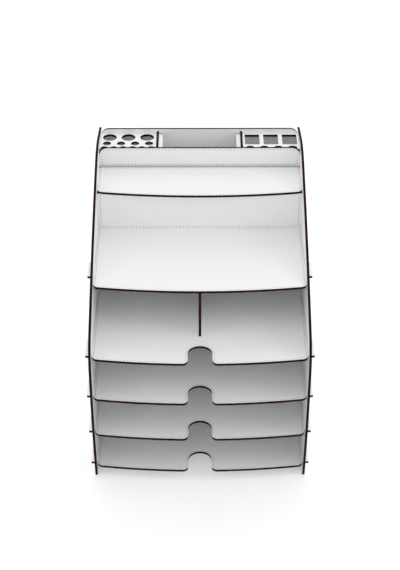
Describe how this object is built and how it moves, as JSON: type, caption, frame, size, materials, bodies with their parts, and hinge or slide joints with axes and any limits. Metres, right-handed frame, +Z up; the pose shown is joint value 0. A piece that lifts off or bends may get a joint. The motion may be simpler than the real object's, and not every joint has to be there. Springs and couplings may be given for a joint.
{
  "type": "document rack",
  "caption": "Stepped desk organizer of slotted white boards with dark edges: open document trays with finger notches below, stepped shelves and a divided pen box above.",
  "frame": {"origin": "on the table, below the middle of the whole object", "axes": "+X to the right seen from the front, +Y to the back, +Z up"},
  "size_m": [0.2594, 0.3277, 0.3178],
  "materials": {
    "board": "fibreboard with white satin laminate on both faces and dark burnt edges"
  },
  "bodies": {
    "root": {"left_side_panel": "board", "right_side_panel": "board", "back_panel": "board", "tray_1": "board", "tray_2": "board", "tray_3": "board", "tray_4": "board", "tray_divider": "board", "desk_shelf": "board", "step_shelf": "board", "riser_panel": "board", "pen_front_panel": "board", "left_pen_divider": "board", "right_pen_divider": "board", "left_pen_plate": "board", "right_pen_plate": "board"}
  },
  "joints": []
}
